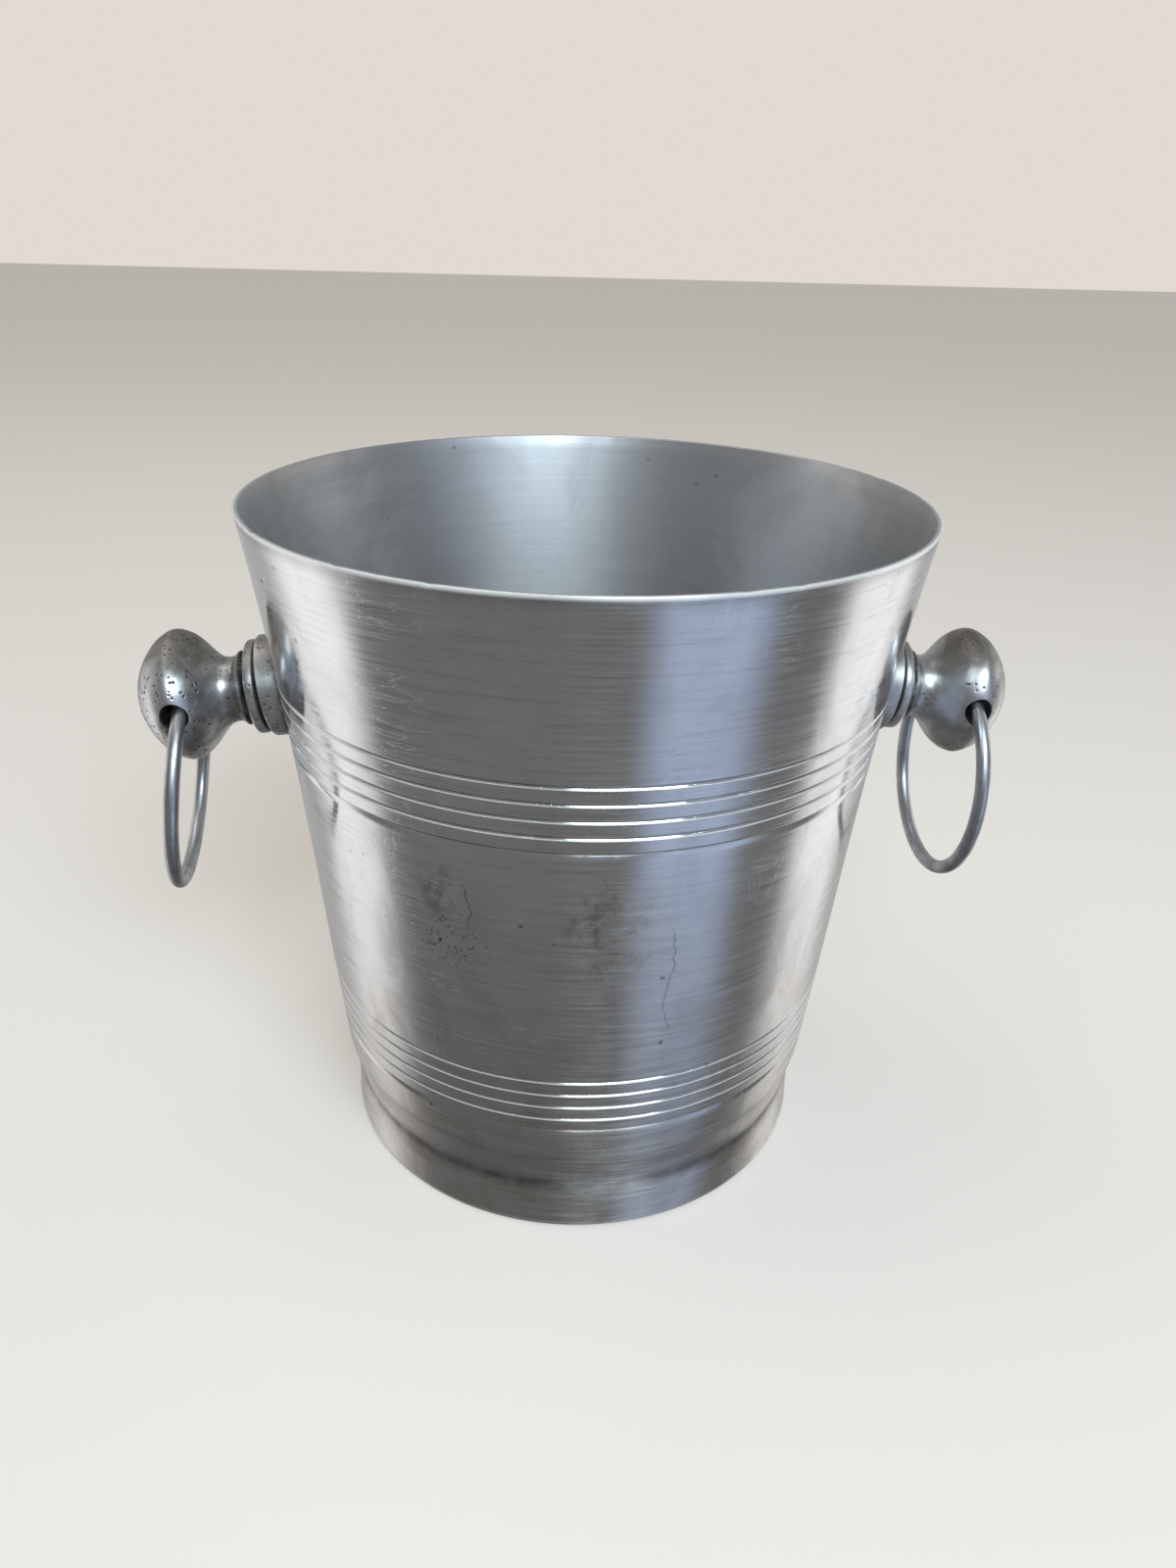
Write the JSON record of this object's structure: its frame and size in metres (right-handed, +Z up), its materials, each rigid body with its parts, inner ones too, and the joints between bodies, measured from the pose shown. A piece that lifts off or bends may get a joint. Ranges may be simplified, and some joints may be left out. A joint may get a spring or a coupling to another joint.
{
  "type": "champagne bucket",
  "caption": "Flared spun-metal wine bucket with turned groove bands, a plain cut rim, and on each side a turned knob carrying a loose swinging ring.",
  "frame": {"origin": "centre of the base plane, on the bucket's axis", "axes": "+Z up along the bucket's axis, X through both knobs, +X to the right of someone who stands at -Y"},
  "size_m": [0.2706, 0.1998, 0.21],
  "materials": {
    "spun_aluminium": "polished spun sheet with fine circumferential marks, worn and scratched",
    "cast_aluminium": "polished casting with small pits and a dark patina in the seams",
    "ring_wire": "smooth worn grey wire",
    "fastener_steel": "dull plated steel"
  },
  "bodies": {
    "bucket": {"bucket_shell": "spun_aluminium", "knob_left": "cast_aluminium", "knob_right": "cast_aluminium", "spacer_left": "cast_aluminium", "spacer_right": "cast_aluminium", "washer_left": "fastener_steel", "washer_right": "fastener_steel", "screw_left": "fastener_steel", "screw_right": "fastener_steel"},
    "left_ring": {"ring_left": "ring_wire"},
    "right_ring": {"ring_right": "ring_wire"}
  },
  "joints": [
    {"name": "left_ring_swing", "type": "hinge", "parent": "bucket", "child": "left_ring", "pos_m": [-0.1213, 0, 0.1483], "axis": [0, 1, 0], "range_deg": [-34, 183]},
    {"name": "right_ring_swing", "type": "hinge", "parent": "bucket", "child": "right_ring", "pos_m": [0.1213, 0, 0.1483], "axis": [0, -1, 0], "range_deg": [-25, 191]}
  ]
}
